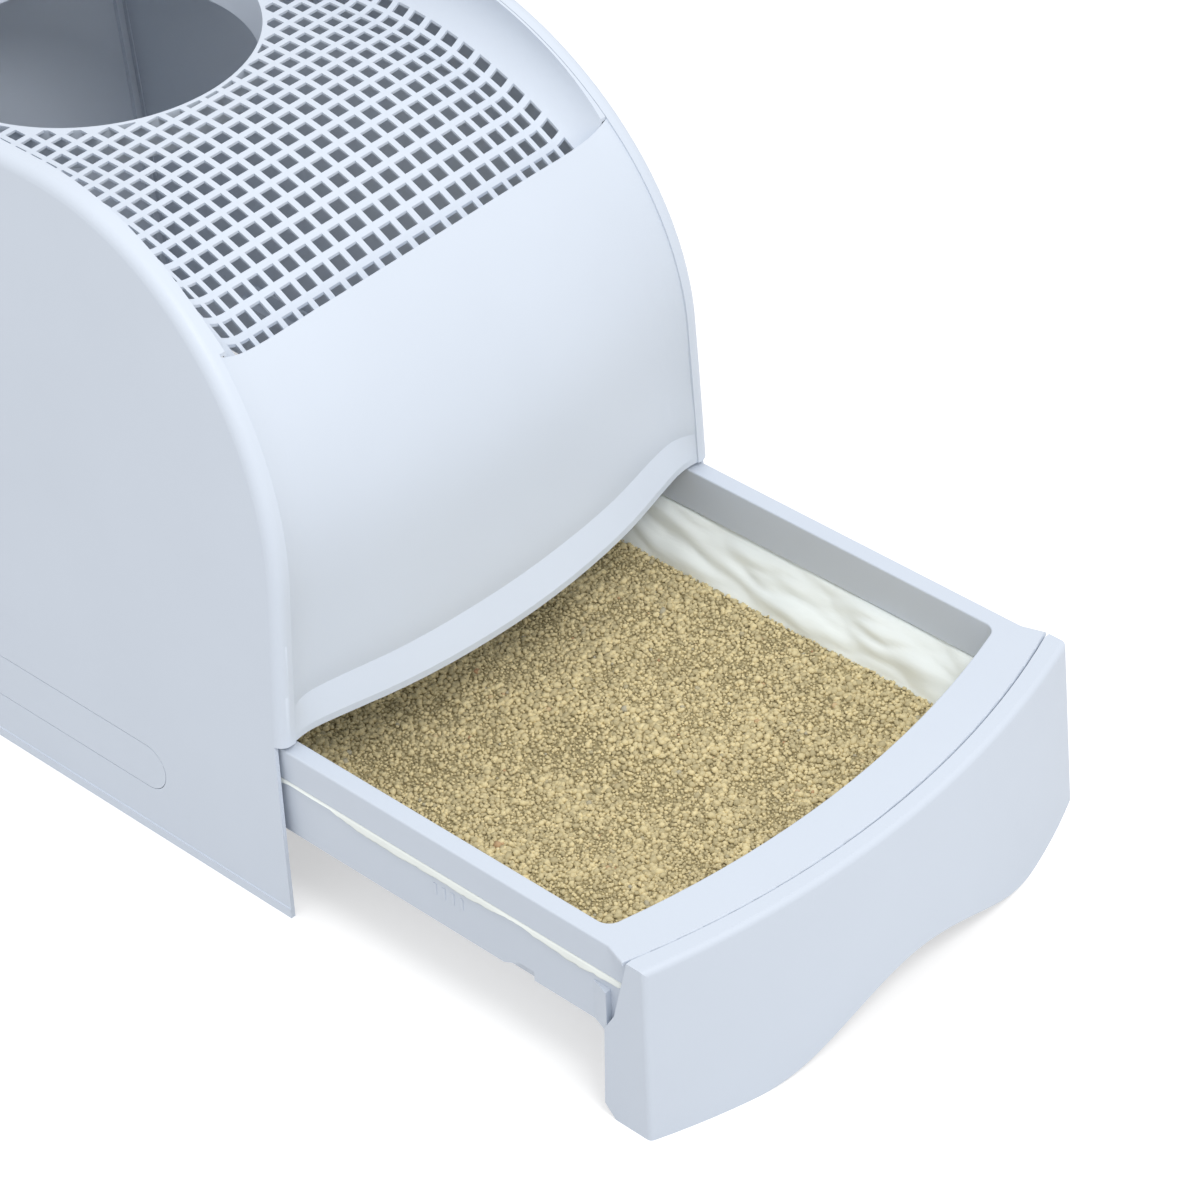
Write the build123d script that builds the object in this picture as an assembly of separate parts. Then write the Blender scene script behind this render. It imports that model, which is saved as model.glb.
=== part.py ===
"""Top-entry litter box with a pull-out drawer, built as separate pieces.

Millimetres, +Z up, X across the box, the drawer slides out towards -Y.
The pieces are drawn with the hood's front edge at Y = 0 and are moved
at the end so that the box that holds them all is centred on the origin.
"""
import os
from math import asin, cos, sin, sqrt

from build123d import *

# Hood
HOOD_LENGTH = 496.0
HOOD_HEIGHT = 415.0
HALF_WIDTH_FLOOR = 185.0
SIDE_INSET_MIDDLE = 10.5
SIDE_INSET_TOP = 28.0
WALL = 2.6
FRONT_SHOULDER = 190.0
REAR_SHOULDER = 110.0
WALL_EDGE_LEAN = 6.5
LIP_HEIGHT = 21.5
LIP_EDGE = 4.5
FOOT_BEAD_HEIGHT = 6.5
FOOT_BEAD_PROUD = 0.6

# Rim that runs over the hood's two sides
RIM_WIDTH = 10.5
RIM_DEPTH = 12.0
RIM_SKIN = 3.2
RIM_ROUNDING = 7.0

# Front panel between the rims, and the rear panel
PANEL_SKIN = 2.6
PANEL_RECESS_TOP = 7.0
PANEL_RECESS_LIP = 13.0
PANEL_BOW = 25.0
PANEL_EDGE_STEP = 0.9
PANEL_EDGE_RUN = 26.0
PANEL_TOP_DROP = 53.0
PANEL_STATIONS = 8
LIP_RECESS = 7.8
LIP_BOW = 29.3
REAR_RECESS = 6.0

# Entry deck
STEP_FRONT_Y = 50.0
STEP_REAR_INSET = 55.0
DECK_DEPTH = 38.0
DECK_FLAT_INSET = 150.0
DECK_FRONT_RADIUS = 255.0
DECK_FRONT_ANGLE = 40.0
DECK_SIDE_RADIUS = 30.0
DECK_SKIN = 1.6
DECK_END_HEIGHT = 13.0
SHELF_DEPTH = 4.5
FIT_GAP = 0.15
ENTRY_INSET = 121.0
ENTRY_RADIUS = 103.5
COLLAR_DEPTH = 27.0
COLLAR_TAPER = 2.8
COLLAR_SKIN = 2.6
GRILLE_PITCH_X = 13.3
GRILLE_PITCH_Y = 12.9
GRILLE_SPREAD = 178.0
GRILLE_BAR_SHARE = 0.31
GRILLE_SIDE_MARGIN = 16.0
GRILLE_END_MARGIN = 11.0

# Runner inserts in the hood's side walls
RUNNER_DROP = 8.0
RUNNER_RADIUS = 15.0
RUNNER_START_Y = 101.0
RUNNER_REAR_INSET = 86.0
RUNNER_FLANGE = 5.0
RUNNER_FLANGE_SKIN = 2.2
RUNNER_GAP = 0.4
LEDGE_LAP = 2.0
LEDGE_SKIN = 4.0
SLIDE_GAP = 0.3

# Drawer, pulled out this far in the photo's pose
DRAWER_OUT = 241.0
SIDE_CLEARANCE = 2.1
SHUT_CLEARANCE = 2.0
REAR_CLEARANCE = 12.4
LIP_CLEARANCE = 4.0

# Drawer front
FRONT_HEIGHT = 117.0
FRONT_SKIN = 3.0
FRONT_ROUNDING = 3.5
FRONT_SIDE_INSET = 0.4
FRONT_FOOT_INSET = 1.0
FRONT_TOP_DEPTH = 13.9
FRONT_TOP_BOW = 26.3
FRONT_FOOT_DEPTH = 33.0
FRONT_FOOT_BOW = 38.0
SEAM_BOW = 29.3
EAR_DEPTH = 14.3
EAR_TOP_LEAN = 1.7
EAR_SHOULDER_RISE = 5.0
EAR_SHOULDER_HEIGHT = 13.0
EAR_SHOULDER_DEPTH = 7.0
EAR_FOOT_CHAMFER = 8.0
GRIP_HALF_WIDTH = 125.0
GRIP_HEIGHT = 30.0

# Liner frame
FRAME_SKIN = 2.5
FRAME_PROUD = 0.1
FRAME_RAIL = 11.3
FRAME_FRONT_RAIL = 25.7
FRAME_OPENING_BOW = 22.8
FRAME_INNER_DEPTH = 29.0
FRAME_CORNER = 9.0
FRAME_FLARE = 0.5
FRAME_GAP = 1.0
FRAME_ROUNDING = 1.0

# Drawer tray
TRAY_DROP = 23.0
TRAY_SKIRT_HEIGHT = 37.0
TRAY_FLOOR_DROP = 17.0
TRAY_SKIN = 2.2
TUB_INSET = 5.0
TUB_DRAFT = 10.0
BAND_DROP = 8.0
GUSSET_LENGTH = 13.0
NOTCH_OFFSET = 57.3
NOTCH_FLAT = 9.7
NOTCH_RAMP = 13.0
NOTCH_HEIGHT = 6.5
RIB_OFFSET = 130.3
RIB_PITCH = 6.7
RIB_COUNT = 4
RIB_PROUD = 0.4
RIB_WIDTH = 2.2
RIB_LENGTH = 8.0
RIB_DROP = 12.5

# Liner bag and litter
BAG_SKIN = 1.0
BAG_GAP = 0.2
BAG_DROP = 6.0
LITTER_INSET = 33.0
LITTER_DEPTH = 14.6
LITTER_GAP = 0.2

# Room around the model for cuts that run right through it
REACH = 700.0
SECTION_OVERRUN = 1.2


def half_width_at(height):
    """The hood's outer half-width at a height above the floor."""
    share = height / HOOD_HEIGHT
    bow = 4 * share * (1 - share) * SIDE_INSET_MIDDLE
    return HALF_WIDTH_FLOOR - bow - share * (2 * share - 1) * SIDE_INSET_TOP


# Heights that follow from the drawer's
LIP_Z = FRONT_HEIGHT + LIP_CLEARANCE
TRAY_TOP_Z = FRONT_HEIGHT - TRAY_DROP
TRAY_SKIRT_Z = TRAY_TOP_Z - TRAY_SKIRT_HEIGHT
TRAY_FLOOR_Z = TRAY_SKIRT_Z - TRAY_FLOOR_DROP
BAND_TOP_Z = TRAY_TOP_Z - BAND_DROP
RUNNER_Z = TRAY_SKIRT_Z - RUNNER_DROP
FRAME_INNER_Z = FRONT_HEIGHT - FRAME_INNER_DEPTH
BAG_TOP_Z = TRAY_TOP_Z + BAG_GAP + BAG_SKIN
BAG_TURN_Z = FRAME_INNER_Z - BAG_SKIN
BAG_FLOOR_Z = TRAY_FLOOR_Z + TRAY_SKIN + BAG_GAP
LITTER_LOW_Z = BAG_FLOOR_Z + BAG_SKIN + LITTER_GAP
LITTER_TOP_Z = LITTER_LOW_Z + LITTER_DEPTH
DECK_Z = HOOD_HEIGHT - DECK_DEPTH

# Widths that follow from the hood's
DECK_HALF_WIDTH = half_width_at(DECK_Z) - RIM_WIDTH - FIT_GAP - DECK_SKIN
TRAY_HALF_WIDTH = half_width_at(FRONT_HEIGHT) - WALL - SIDE_CLEARANCE
FRAME_HALF_WIDTH = TRAY_HALF_WIDTH + FRAME_PROUD
FRAME_OPENING_HALF_WIDTH = FRAME_HALF_WIDTH - FRAME_RAIL
FRONT_TOP_HALF_WIDTH = half_width_at(FRONT_HEIGHT) - FRONT_SIDE_INSET
FRONT_FOOT_HALF_WIDTH = HALF_WIDTH_FLOOR - FRONT_FOOT_INSET
SEAM_HALF_WIDTH = FRONT_TOP_HALF_WIDTH + FRAME_FLARE
LEDGE_HALF_WIDTH = TRAY_HALF_WIDTH - TRAY_SKIN - LEDGE_LAP

# Places along the length
STEP_REAR_Y = HOOD_LENGTH - STEP_REAR_INSET
DECK_FLAT_Y = STEP_FRONT_Y + DECK_FLAT_INSET
ENTRY_Y = STEP_REAR_Y - ENTRY_INSET
RUNNER_END_Y = HOOD_LENGTH - RUNNER_REAR_INSET
EAR_REAR_Y = -DRAWER_OUT
SEAM_END_Y = EAR_REAR_Y - EAR_DEPTH
TRAVEL_SHUT = DRAWER_OUT - SHUT_CLEARANCE
TRAY_REAR_Y = HOOD_LENGTH - REAR_RECESS - WALL - REAR_CLEARANCE - TRAVEL_SHUT


def slab(low, high):
    """Everything between two corners, each given as (X, Y, Z)."""
    size = [b - a for a, b in zip(low, high)]
    middle = [(a + b) / 2 for a, b in zip(low, high)]
    return Pos(*middle) * Box(*size)


def lane(half_width, front=-REACH, rear=REACH, low=0):
    """Everything within a half-width of the middle, between two places."""
    return slab((-half_width, front, low), (half_width, rear, REACH))


def side_prism(*outline):
    """Solid across the whole width, from an outline given as (Y, Z)."""
    face = Plane.YZ * make_face(Polyline(*outline, close=True))
    return extrude(face, REACH / 2, both=True)


def hood_prism(inset):
    """The hood's side view, drawn this far inside its edge, right across the width."""
    front = FRONT_SHOULDER
    rear = REAR_SHOULDER
    top = HOOD_HEIGHT - inset
    back = HOOD_LENGTH - inset
    edges = [
        CenterArc((front, HOOD_HEIGHT - front), front - inset, 90, 90),
        CenterArc((HOOD_LENGTH - rear, HOOD_HEIGHT - rear), rear - inset, 0, 90),
        Line((front, top), (HOOD_LENGTH - rear, top)),
        Line((inset, HOOD_HEIGHT - front), (inset, 0)),
        Line((inset, 0), (back, 0)),
        Line((back, 0), (back, HOOD_HEIGHT - rear)),
    ]
    return extrude(Plane.YZ * make_face(edges), REACH / 2, both=True)


def width_prism(inset):
    """The hood's bowed cross-section, this far inside, along its length."""
    low = HALF_WIDTH_FLOOR - inset
    height = HOOD_HEIGHT * SECTION_OVERRUN
    middle = half_width_at(height / 2) - inset
    top = half_width_at(height) - inset
    edges = [
        Line((-low, 0), (low, 0)),
        ThreePointArc((low, 0), (middle, height / 2), (top, height)),
        Line((top, height), (-top, height)),
        ThreePointArc((-top, height), (-middle, height / 2), (-low, 0)),
    ]
    return extrude(Plane.XZ * make_face(edges), REACH, both=True)


def front_edge_at(height):
    """Where the rim's front lies at a height, and how steeply it leans."""
    above = height - (HOOD_HEIGHT - FRONT_SHOULDER)
    if above <= 0:
        return 0.0, 1.0
    lean = cos(asin(above / FRONT_SHOULDER))
    return FRONT_SHOULDER * (1 - lean), lean


def panel_section(height, recess, bow):
    """One level cut through the front panel, soft where it meets the rims."""
    front, lean = front_edge_at(height)
    reach = half_width_at(height) - RIM_WIDTH + PANEL_EDGE_STEP
    run = PANEL_EDGE_RUN
    half = [0, reach * 0.3, reach * 0.58, reach - run, reach - run / 2, reach - run / 5, reach]
    points = []
    for x in [-x for x in reversed(half[1:])] + half:
        turn = max(abs(x) - (reach - run), 0) / run
        rise = (recess - PANEL_EDGE_STEP) * turn**2
        points.append((x, front + recess - bow * (1 - (x / reach) ** 2) - rise))
    inner = [(x, y + PANEL_SKIN / lean) for x, y in points]
    ends = [Line(points[0], inner[0]), Line(points[-1], inner[-1])]
    return Pos(0, 0, height) * make_face([Spline(*points), Spline(*inner), *ends])


def front_panel():
    """The bowed panel, and the lip that flares out along its foot."""
    crease = LIP_Z + LIP_HEIGHT
    top = HOOD_HEIGHT - PANEL_TOP_DROP
    sections = []
    for i in range(PANEL_STATIONS):
        height = crease + (top - crease) * i / (PANEL_STATIONS - 1)
        share = max(1 - i / (PANEL_STATIONS - 2), 0.02)
        recess = PANEL_RECESS_TOP + (PANEL_RECESS_LIP - PANEL_RECESS_TOP) * share
        sections.append(panel_section(height, recess, PANEL_BOW * share))
    edge = [panel_section(LIP_Z + rise, LIP_RECESS, LIP_BOW) for rise in (0, LIP_EDGE)]
    lip = loft([*edge, sections[0]], ruled=True)
    return lip + (loft(sections) & lane(REACH, rear=STEP_FRONT_Y))


def rims():
    """Side walls, each with the rounded rim over its edge; whole at the rear."""
    foot = HOOD_LENGTH - REAR_SHOULDER / 2
    block = hood_prism(0) & width_prism(0)
    block &= lane(REACH, low=LIP_Z) + lane(REACH, front=foot)
    above = [e for e in block.edges() if e.center().Z > LIP_Z + RIM_ROUNDING]
    block = fillet([e for e in above if abs(e.tangent_at(0.5).X) < 0.5], RIM_ROUNDING)
    hollow = (width_prism(RIM_SKIN) - width_prism(RIM_WIDTH - WALL)) & hood_prism(RIM_SKIN)
    room = width_prism(WALL) & hood_prism(RIM_DEPTH)
    return block - width_prism(RIM_WIDTH) - hollow - room


def lower_walls():
    """Side walls below the lip, their front edges leaning back."""
    rear = HOOD_LENGTH - REAR_SHOULDER / 2
    profile = side_prism((0, 0), (WALL_EDGE_LEAN, LIP_Z), (rear, LIP_Z), (rear, 0))
    walls = (width_prism(0) - width_prism(WALL)) & profile
    bead = width_prism(-FOOT_BEAD_PROUD) - width_prism(WALL / 2)
    bead &= slab((-REACH, 0, 0), (REACH, HOOD_LENGTH, FOOT_BEAD_HEIGHT)) & profile
    return walls + bead


def rear_panel():
    """Rear wall and rear shoulder, set in a little from the rims."""
    skin = hood_prism(REAR_RECESS) - hood_prism(REAR_RECESS + WALL)
    return skin & width_prism(WALL / 2) & lane(REACH, front=STEP_REAR_Y)


def runner_window(clearance):
    """Stadium-shaped prism through both side walls."""
    length = RUNNER_END_Y - RUNNER_START_Y + 2 * clearance
    face = SlotOverall(length, 2 * (RUNNER_RADIUS + clearance))
    middle = (RUNNER_START_Y + RUNNER_END_Y) / 2
    return extrude(Plane.YZ * Pos(middle, RUNNER_Z) * face, REACH / 2, both=True)


def deck_front_low():
    """Underside of the deck at its front end."""
    reach = DECK_FLAT_Y - STEP_FRONT_Y
    return DECK_Z - DECK_FRONT_RADIUS + sqrt((DECK_FRONT_RADIUS - DECK_SKIN) ** 2 - reach**2)


def deck_shelves():
    """Ledges behind the front panel and ahead of the rear one, which carry the deck's ends."""
    edge = STEP_FRONT_Y - WALL
    before = FRONT_SHOULDER - edge + PANEL_RECESS_TOP
    top = HOOD_HEIGHT - FRONT_SHOULDER + sqrt(FRONT_SHOULDER**2 - before**2) - PANEL_SKIN / 2
    low = deck_front_low() - FIT_GAP
    shelves = slab((-REACH, edge, low - WALL), (REACH, STEP_FRONT_Y, top))
    shelves += slab((-REACH, edge, low - WALL), (REACH, STEP_FRONT_Y + SHELF_DEPTH, low))
    edge = STEP_REAR_Y + WALL
    behind = edge - HOOD_LENGTH + REAR_SHOULDER
    skin = REAR_SHOULDER - REAR_RECESS - WALL / 2
    top = HOOD_HEIGHT - REAR_SHOULDER + sqrt(skin**2 - behind**2)
    low = DECK_Z - DECK_SKIN - FIT_GAP
    shelves += slab((-REACH, STEP_REAR_Y, low - WALL), (REACH, edge, top))
    shelves += slab((-REACH, STEP_REAR_Y - SHELF_DEPTH, low - WALL), (REACH, edge, low))
    return shelves & width_prism(WALL / 2)


def hood_shell():
    """The bottomless hood that stands on the floor."""
    shell = rims() + lower_walls() + front_panel() + rear_panel() + deck_shelves()
    return shell - (runner_window(RUNNER_GAP) & (width_prism(-WALL) - width_prism(2 * WALL)))


def deck_form(grow):
    """The deck's hollow, grown by this much: level, then curling down to the step at the front."""
    low = DECK_Z - grow
    top = HOOD_HEIGHT + DECK_DEPTH
    outline = [(-REACH, low), (REACH, low), (REACH, top), (-REACH, top)]
    section = Pos(0, DECK_FLAT_Y, 0) * (Plane.XZ * make_face(Polyline(*outline, close=True)))
    turn = Axis((0, DECK_FLAT_Y, DECK_Z - DECK_FRONT_RADIUS), (1, 0, 0))
    form = extrude(section, -(STEP_REAR_Y - DECK_FLAT_Y)) + revolve(section, turn, DECK_FRONT_ANGLE)
    form &= width_prism(RIM_WIDTH + FIT_GAP + DECK_SKIN - grow)
    low_edges = [e for e in form.edges() if e.center().Z < DECK_Z + FIT_GAP and e.center().Y > STEP_FRONT_Y]
    corners = [e for e in low_edges if abs(e.tangent_at(0.5).X) < 0.5]
    return fillet(corners, DECK_SIDE_RADIUS + grow)


def deck_ends():
    """Upright ends of the deck, just inside the two steps."""
    front = STEP_FRONT_Y + 2 * FIT_GAP
    rear = STEP_REAR_Y - 2 * FIT_GAP
    low = deck_front_low()
    high = DECK_Z - DECK_SKIN
    ends = slab((-REACH, front, low), (REACH, front + DECK_SKIN, low + DECK_END_HEIGHT))
    ends += slab((-REACH, rear - DECK_SKIN, high), (REACH, rear, high + DECK_END_HEIGHT + DECK_SKIN))
    return ends & width_prism(RIM_WIDTH + FIT_GAP)


def grille_tools():
    """Every hole of the grille, as upright prisms; the columns draw closer towards the sides."""
    first = STEP_FRONT_Y + GRILLE_END_MARGIN
    rows = int((STEP_REAR_Y - GRILLE_END_MARGIN - first) / GRILLE_PITCH_Y) + 1
    reach = DECK_HALF_WIDTH - GRILLE_SIDE_MARGIN
    step = GRILLE_PITCH_X / GRILLE_SPREAD
    side = int(asin(reach / GRILLE_SPREAD) / step)
    open_share = 1 - GRILLE_BAR_SHARE
    holes = []
    for row in range(rows):
        y = first + row * GRILLE_PITCH_Y
        for column in range(-side, side + 1):
            x = GRILLE_SPREAD * sin(column * step)
            width = open_share * GRILLE_PITCH_X * cos(column * step)
            if x**2 + (y - ENTRY_Y) ** 2 > ENTRY_RADIUS**2:
                holes.append(Pos(x, y) * Rectangle(width, open_share * GRILLE_PITCH_Y))
    return extrude(Pos(0, 0, DECK_Z / 2) * Sketch(holes), DECK_Z)


def entry_collar():
    """Tapered skirt round the entry hole."""
    low = DECK_Z - COLLAR_DEPTH
    inner = ENTRY_RADIUS
    outer = ENTRY_RADIUS + COLLAR_SKIN
    profile = Polyline(
        (inner, DECK_Z),
        (outer, DECK_Z),
        (outer - COLLAR_TAPER, low),
        (inner - COLLAR_TAPER, low),
        close=True,
    )
    return Pos(0, ENTRY_Y, 0) * revolve(Plane.XZ * make_face(profile), Axis.Z)


def entry_deck():
    """Perforated deck with the round way in, let in between the rims."""
    limits = lane(REACH, STEP_FRONT_Y + 2 * FIT_GAP, STEP_REAR_Y - 2 * FIT_GAP) & hood_prism(2 * FIT_GAP)
    dish = deck_form(0)
    land = (hood_prism(0) - hood_prism(2 * FIT_GAP + DECK_SKIN) - dish) & width_prism(RIM_WIDTH + FIT_GAP)
    deck = (deck_form(DECK_SKIN) - dish + deck_ends() + land) & limits
    deck -= grille_tools()
    deck -= Pos(0, ENTRY_Y, DECK_Z) * Cylinder(ENTRY_RADIUS, 2 * COLLAR_DEPTH)
    return deck + entry_collar()


def runner(side):
    """Insert for one side wall: flush plug, inner flange and ledge."""
    plug = runner_window(0) & (width_prism(0) - width_prism(WALL + RUNNER_FLANGE_SKIN))
    flange = runner_window(RUNNER_FLANGE)
    flange &= width_prism(WALL + FIT_GAP) - width_prism(WALL + RUNNER_FLANGE_SKIN)
    top = TRAY_SKIRT_Z - SLIDE_GAP
    ledge = slab(
        (LEDGE_HALF_WIDTH, RUNNER_START_Y, top - LEDGE_SKIN),
        (HALF_WIDTH_FLOOR, RUNNER_END_Y, top),
    )
    both = plug + flange + (ledge & width_prism(WALL + FIT_GAP))
    right = both & slab((0, -REACH, 0), (REACH, REACH, REACH))
    return right if side > 0 else mirror(right, Plane.YZ)


def seam_y(x):
    """Where the bowed seam between drawer front and liner frame lies."""
    radius = (SEAM_HALF_WIDTH**2 + SEAM_BOW**2) / (2 * SEAM_BOW)
    return SEAM_END_Y - SEAM_BOW + radius - sqrt(radius**2 - x**2)


def drawer_face(half_width, rear, end, bow, corner=0):
    """Plan of something in the drawer: straight sides and a bowed front."""
    edges = [
        Line((-half_width, rear), (half_width, rear)),
        Line((half_width, rear), (half_width, end)),
        ThreePointArc((half_width, end), (0, end - bow), (-half_width, end)),
        Line((-half_width, end), (-half_width, rear)),
    ]
    face = make_face(edges)
    return fillet(face.vertices(), corner) if corner else face


def seam_face(half_width, rear, behind, corner=0):
    """The same plan, its front held this far behind the seam."""
    end = seam_y(half_width) + behind
    return drawer_face(half_width, rear, end, seam_y(half_width) - seam_y(0), corner)


def upright(face, low, high):
    """A plan carried up from one height to another."""
    return extrude(Pos(0, 0, low) * face, high - low)


def tub_face(inset):
    """The tray's plan, this far inside its outer skirt."""
    half = TRAY_HALF_WIDTH - inset
    return seam_face(half, TRAY_REAR_Y - inset, FRAME_GAP + TRAY_SKIN + inset, FRAME_CORNER)


def tub(inset, low, high):
    """The tray's plan between two heights."""
    return upright(tub_face(inset), low, high)


def stacked(*levels):
    """Straight-sided form through tray plans, each given as (inset, height)."""
    return loft([Pos(0, 0, height) * tub_face(inset) for inset, height in levels], ruled=True)


def tub_form(inset, floor):
    """The tub's form: upright as deep as the frame reaches, then drafted."""
    return stacked((inset + TUB_DRAFT, floor), (inset, BAG_TURN_Z), (inset, TRAY_TOP_Z))


def gussets():
    """Wedges that widen the tray's lower band up to the drawer front's ears."""
    end = EAR_REAR_Y + FIT_GAP
    start = EAR_REAR_Y + GUSSET_LENGTH
    root = TRAY_HALF_WIDTH - TRAY_SKIN / 2
    outline = Polyline(
        (root, start), (TRAY_HALF_WIDTH, start), (FRONT_TOP_HALF_WIDTH, end), (root, end), close=True
    )
    wedge = upright(make_face(outline), TRAY_SKIRT_Z, BAND_TOP_Z)
    return wedge + mirror(wedge, Plane.YZ)


def tray_ribs():
    """Short upright ribs on the tray's sides."""
    size = (2 * RIB_PROUD, RIB_WIDTH, RIB_LENGTH)
    first = EAR_REAR_Y + RIB_OFFSET
    height = TRAY_TOP_Z - RIB_DROP
    places = [(side * TRAY_HALF_WIDTH, first - i * RIB_PITCH) for i in range(RIB_COUNT) for side in (-1, 1)]
    return Part([Pos(x, y, height) * Box(*size) for x, y in places])


def drawer_tray():
    """Tray with a drafted tub in an outer skirt, notched and ribbed along its sides."""
    tray = tub(0, TRAY_SKIRT_Z, TRAY_TOP_Z) - tub(TRAY_SKIN, 0, TRAY_TOP_Z - TRAY_SKIN)
    band = upright(seam_face(TRAY_HALF_WIDTH, 0, FIT_GAP), TRAY_SKIRT_Z, BAND_TOP_Z)
    tray += band - tub(TRAY_SKIN, 0, REACH)
    tray += gussets() + tray_ribs()
    tray += tub_form(TUB_INSET, TRAY_FLOOR_Z)
    tray -= tub_form(TUB_INSET + TRAY_SKIN, TRAY_FLOOR_Z + TRAY_SKIN)
    foot = TRAY_SKIRT_Z
    top = foot + NOTCH_HEIGHT
    face = EAR_REAR_Y + NOTCH_OFFSET
    flat = face + NOTCH_FLAT
    notch = side_prism((face, foot), (face, top), (flat, top), (flat + NOTCH_RAMP, foot))
    return tray - (notch - lane(TRAY_HALF_WIDTH - TRAY_SKIN - WALL / 2))


def front_section(inset, height, half_width, end, bow):
    """Plan of the drawer front at one height, ears included."""
    return Pos(0, 0, height) * drawer_face(half_width - inset, EAR_REAR_Y, end + inset, bow)


def front_block(inset):
    """The drawer front's outer form, this far inside, ears included."""
    foot = EAR_REAR_Y - FRONT_FOOT_DEPTH
    top = SEAM_END_Y - FRONT_TOP_DEPTH
    low = front_section(inset, 0, FRONT_FOOT_HALF_WIDTH, foot, FRONT_FOOT_BOW)
    high = front_section(inset, FRONT_HEIGHT - inset, FRONT_TOP_HALF_WIDTH, top, FRONT_TOP_BOW)
    return loft([low, high], ruled=True)


def hand_arch():
    """Soft arch along the drawer front's foot, for the fingers."""
    half = GRIP_HALF_WIDTH
    rise = GRIP_HEIGHT
    points = [(-half, 0), (-half / 2, rise / 2), (0, rise), (half / 2, rise / 2), (half, 0)]
    curve = Spline(*points, tangents=((1, 0), (1, 0)))
    face = Plane.XZ * make_face([curve, Line(points[0], points[-1])])
    return extrude(face, REACH, both=True)


def ear_cut():
    """What is cut from the ears above the tray's band, and at their heels."""
    rear = EAR_REAR_Y
    low = TRAY_SKIRT_Z + EAR_SHOULDER_RISE
    high = FRONT_HEIGHT + FRAME_GAP
    shoulder = (rear - EAR_SHOULDER_DEPTH, low + EAR_SHOULDER_HEIGHT)
    top = (SEAM_END_Y - EAR_TOP_LEAN, high)
    upper = side_prism((rear, low), shoulder, top, (0, high), (0, low))
    toe = EAR_FOOT_CHAMFER
    return upper + side_prism((rear - toe, 0), (rear, toe), (rear + toe, 0))


def drawer_front():
    """Bowed front that stands on the floor, arched for the hand."""
    block = front_block(0)
    ahead = [e for e in block.edges() if e.center().Y < EAR_REAR_Y - EAR_DEPTH and e.center().Z > 1]
    block = fillet(ahead, FRONT_ROUNDING)
    back = upright(seam_face(SEAM_HALF_WIDTH, 0, -FRONT_SKIN), TRAY_SKIRT_Z, REACH)
    front = block - (front_block(FRONT_SKIN) - back)
    behind = upright(seam_face(SEAM_HALF_WIDTH, 0, 0), 0, REACH)
    front -= behind & lane(FRAME_HALF_WIDTH + FRAME_GAP)
    return front - ear_cut() - hand_arch()


def frame_plate():
    """Flat top of the liner frame, its front corners drawn out to the drawer front."""
    end = SEAM_END_Y + FRAME_GAP
    start = EAR_REAR_Y + FRAME_GAP
    flare = SEAM_HALF_WIDTH
    half = FRAME_HALF_WIDTH
    edges = [
        Line((-half, TRAY_REAR_Y), (half, TRAY_REAR_Y)),
        Line((half, TRAY_REAR_Y), (half, start)),
        Line((half, start), (flare, end)),
        ThreePointArc((flare, end), (0, end - SEAM_BOW), (-flare, end)),
        Line((-flare, end), (-half, start)),
        Line((-half, start), (-half, TRAY_REAR_Y)),
    ]
    return upright(make_face(edges), FRONT_HEIGHT - FRAME_SKIN, FRONT_HEIGHT)


def frame_opening(grow):
    """Plan of the frame's opening, grown outwards by this much."""
    half = FRAME_OPENING_HALF_WIDTH + grow
    rear = TRAY_REAR_Y - FRAME_RAIL + grow
    end = SEAM_END_Y + FRAME_FRONT_RAIL - grow
    return drawer_face(half, rear, end, FRAME_OPENING_BOW, FRAME_CORNER)


def liner_frame():
    """Frame that clamps the bag's edge on the tray."""
    skin = FRAME_SKIN
    low = BAG_TOP_Z + BAG_GAP
    outer = seam_face(FRAME_HALF_WIDTH, TRAY_REAR_Y, FRAME_GAP, FRAME_CORNER)
    inner = seam_face(FRAME_HALF_WIDTH - skin, TRAY_REAR_Y - skin, FRAME_GAP + skin, FRAME_CORNER)
    skirt = upright(outer, low, FRONT_HEIGHT) - upright(inner, low, FRONT_HEIGHT - skin)
    lining = upright(frame_opening(skin), FRAME_INNER_Z, FRONT_HEIGHT)
    frame = skirt + frame_plate() + lining - upright(frame_opening(0), 0, REACH)
    top = [e for e in frame.edges() if e.bounding_box().min.Z > FRONT_HEIGHT - FRAME_ROUNDING / 2]
    return fillet(top, FRAME_ROUNDING)


def bag_form(shrink, overrun):
    """Slack bag hanging from the tray's edge in to the litter."""
    wall = TUB_INSET + TRAY_SKIN + BAG_GAP + shrink
    heel = LITTER_INSET + shrink
    foot = BAG_FLOOR_Z + shrink
    top = BAG_TOP_Z + overrun
    return stacked((heel, foot), (heel, LITTER_TOP_Z), (wall, BAG_TURN_Z), (wall, top))


def liner_bag():
    """Film bag with its mouth turned out over the tray's edge."""
    low = TRAY_TOP_Z - BAG_DROP
    turned = tub(-BAG_GAP - BAG_SKIN, low, BAG_TOP_Z) - tub(-BAG_GAP, 0, TRAY_TOP_Z + BAG_GAP)
    turned -= tub(TUB_INSET + TRAY_SKIN + BAG_GAP, 0, REACH)
    return turned + bag_form(0, 0) - bag_form(BAG_SKIN, BAG_SKIN)


def litter_bed():
    """Bed of granules in the bag."""
    return tub(LITTER_INSET + BAG_SKIN + LITTER_GAP, LITTER_LOW_Z, LITTER_TOP_Z)


def all_pieces():
    """Every piece under its node's name, where it stands in the box."""
    return {
        "hood_shell": hood_shell(),
        "entry_deck": entry_deck(),
        "runner_left": runner(-1),
        "runner_right": runner(1),
        "drawer_tray": drawer_tray(),
        "drawer_front": drawer_front(),
        "liner_frame": liner_frame(),
        "liner_bag": liner_bag(),
        "litter_bed": litter_bed(),
    }


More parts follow.
